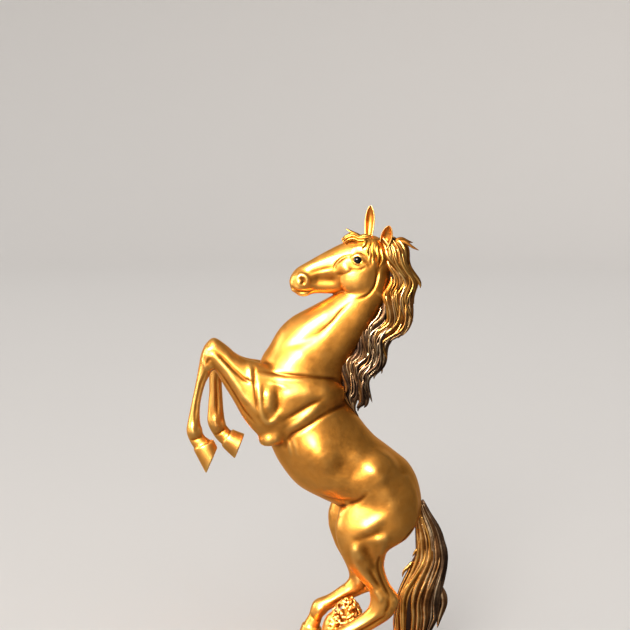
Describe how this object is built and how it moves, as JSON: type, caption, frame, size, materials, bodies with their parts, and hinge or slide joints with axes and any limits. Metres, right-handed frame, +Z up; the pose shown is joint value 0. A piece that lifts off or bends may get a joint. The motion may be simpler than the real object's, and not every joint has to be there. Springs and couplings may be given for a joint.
{
  "type": "rearing horse statue",
  "caption": "Gold-finished metal statue of a rearing horse on its hind legs and tail, mounted on a low oval ground with a felt underside.",
  "frame": {"origin": "middle of the ground's underside, on the surface that the statue stands on", "axes": "+Z up; the horse faces -X; its left side is towards -Y"},
  "size_m": [0.1628, 0.0621, 0.3],
  "materials": {
    "gold_casting": "satin gilt over a metal casting",
    "antique_gold_hair": "dark wash in the grooves, rubbed gold on the ridges",
    "black_enamel_eye": "glossy",
    "steel_fixings": "plain",
    "green_felt": "felt"
  },
  "bodies": {
    "root": {"torso_casting": "gold_casting", "neck_and_head_casting": "gold_casting", "left_foreleg_casting": "gold_casting", "right_foreleg_casting": "gold_casting", "left_hind_leg_casting": "gold_casting", "right_hind_leg_casting": "gold_casting", "left_ear": "gold_casting", "right_ear": "gold_casting", "left_eye": "black_enamel_eye", "right_eye": "black_enamel_eye", "forelock": "gold_casting", "mane_upper_locks": "antique_gold_hair", "mane_middle_locks": "antique_gold_hair", "mane_lower_locks": "antique_gold_hair", "tail_casting": "antique_gold_hair", "tail_free_lock": "antique_gold_hair", "neck_dowels": "steel_fixings", "foreleg_dowels": "steel_fixings", "hind_leg_dowels": "steel_fixings", "tail_dowel": "steel_fixings", "ground_casting": "gold_casting", "foliage_clump": "gold_casting", "hoof_studs": "steel_fixings", "tail_stud": "steel_fixings", "stud_washers": "steel_fixings", "stud_nuts": "steel_fixings", "felt_pad": "green_felt"}
  },
  "joints": []
}
